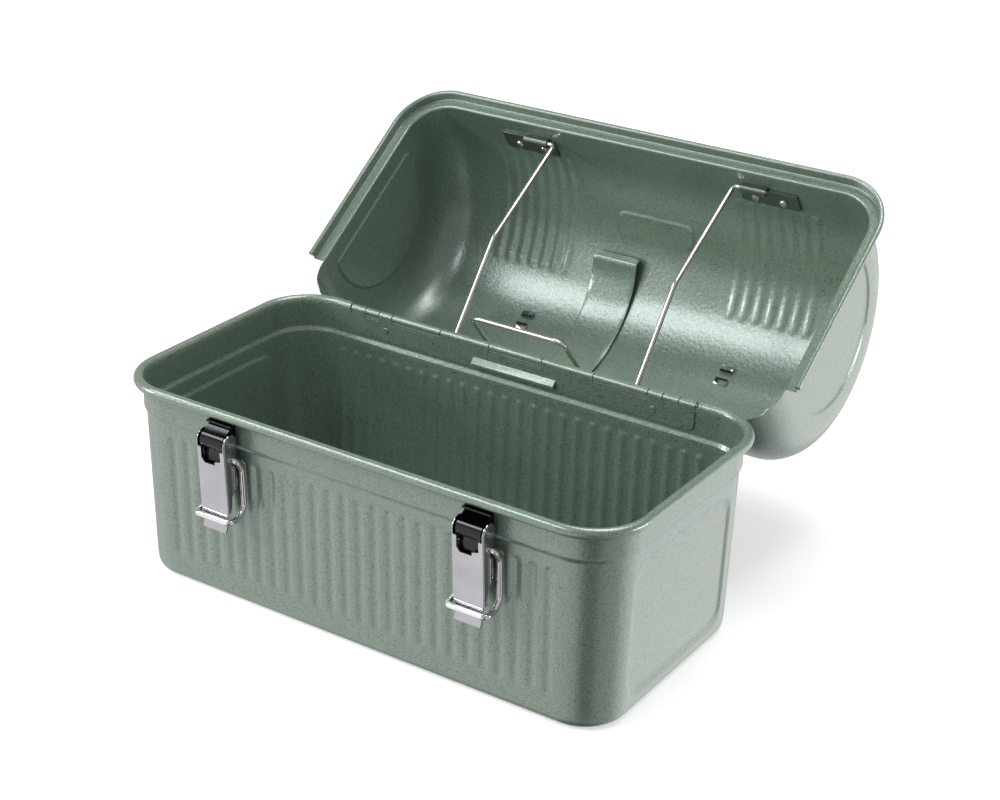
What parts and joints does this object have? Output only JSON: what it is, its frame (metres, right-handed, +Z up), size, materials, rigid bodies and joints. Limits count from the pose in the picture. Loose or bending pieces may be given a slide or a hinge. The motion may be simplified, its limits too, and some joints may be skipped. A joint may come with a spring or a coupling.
{
  "type": "dome-lid lunch box",
  "caption": "Pressed-steel workman's lunch box with a hinged dome lid, two over-centre latches, a swinging bottle bail and a carrying handle.",
  "frame": {"origin": "middle of the footprint on the ground", "axes": "+X to the right along the long side seen from the front, -Y towards the front (the latch side), +Z up; stored with the lid open on its stop"},
  "size_m": [0.3342, 0.3299, 0.2167],
  "materials": {
    "paint": "hammered enamel, sage green, semi-gloss",
    "chrome": "worn bright plate",
    "wire_steel": "drawn bright wire",
    "rivet_steel": "bright plated rivet",
    "grip": "black moulded grip"
  },
  "bodies": {
    "base": {"base_tub": "paint", "hinge_leaf_base": "paint", "hinge_pin": "rivet_steel", "hinge_rivets_base": "paint", "latch_bracket_left": "chrome", "latch_bracket_right": "chrome", "latch_rivets": "rivet_steel", "latch_pins": "rivet_steel"},
    "lid": {"lid_shell": "paint", "hinge_leaf_lid": "paint", "hinge_rivets_lid": "paint", "crown_strap": "paint", "bail_bracket_left": "paint", "bail_bracket_right": "paint", "bail_rivets": "rivet_steel", "lid_catch_left": "chrome", "lid_catch_right": "chrome", "handle_bracket_left": "chrome", "handle_bracket_right": "chrome"},
    "bottle_bail": {"bottle_bail": "wire_steel"},
    "handle": {"handle_wire": "wire_steel", "handle_grip": "grip"},
    "lever_left": {"latch_lever_left": "chrome"},
    "lever_right": {"latch_lever_right": "chrome"},
    "loop_left": {"latch_loop_left": "wire_steel"},
    "loop_right": {"latch_loop_right": "wire_steel"}
  },
  "joints": [
    {"name": "lid_hinge", "type": "hinge", "parent": "base", "child": "lid", "pos_m": [0, 0.0794, 0.1176], "axis": [1, 0, 0], "range_deg": [0, 144.5]},
    {"name": "bottle_bail_swing", "type": "hinge", "parent": "lid", "child": "bottle_bail", "pos_m": [0, 0.21375, 0.19513], "axis": [1, 0, 0], "range_deg": [-50, 6]},
    {"name": "handle_swing", "type": "hinge", "parent": "lid", "child": "handle", "pos_m": [0, 0.20443, 0.07388], "axis": [1, 0, 0], "range_deg": [-54, 125]},
    {"name": "latch_left_lever", "type": "hinge", "parent": "base", "child": "lever_left", "pos_m": [-0.083, -0.086, 0.104], "axis": [-1, 0, 0], "range_deg": [0, 105]},
    {"name": "latch_right_lever", "type": "hinge", "parent": "base", "child": "lever_right", "pos_m": [0.083, -0.086, 0.104], "axis": [-1, 0, 0], "range_deg": [0, 105]},
    {"name": "latch_left_loop", "type": "hinge", "parent": "lever_left", "child": "loop_left", "pos_m": [-0.083, -0.0845, 0.09457], "axis": [1, 0, 0], "range_deg": [-172, 0]},
    {"name": "latch_right_loop", "type": "hinge", "parent": "lever_right", "child": "loop_right", "pos_m": [0.083, -0.0845, 0.09457], "axis": [1, 0, 0], "range_deg": [-172, 0]}
  ]
}
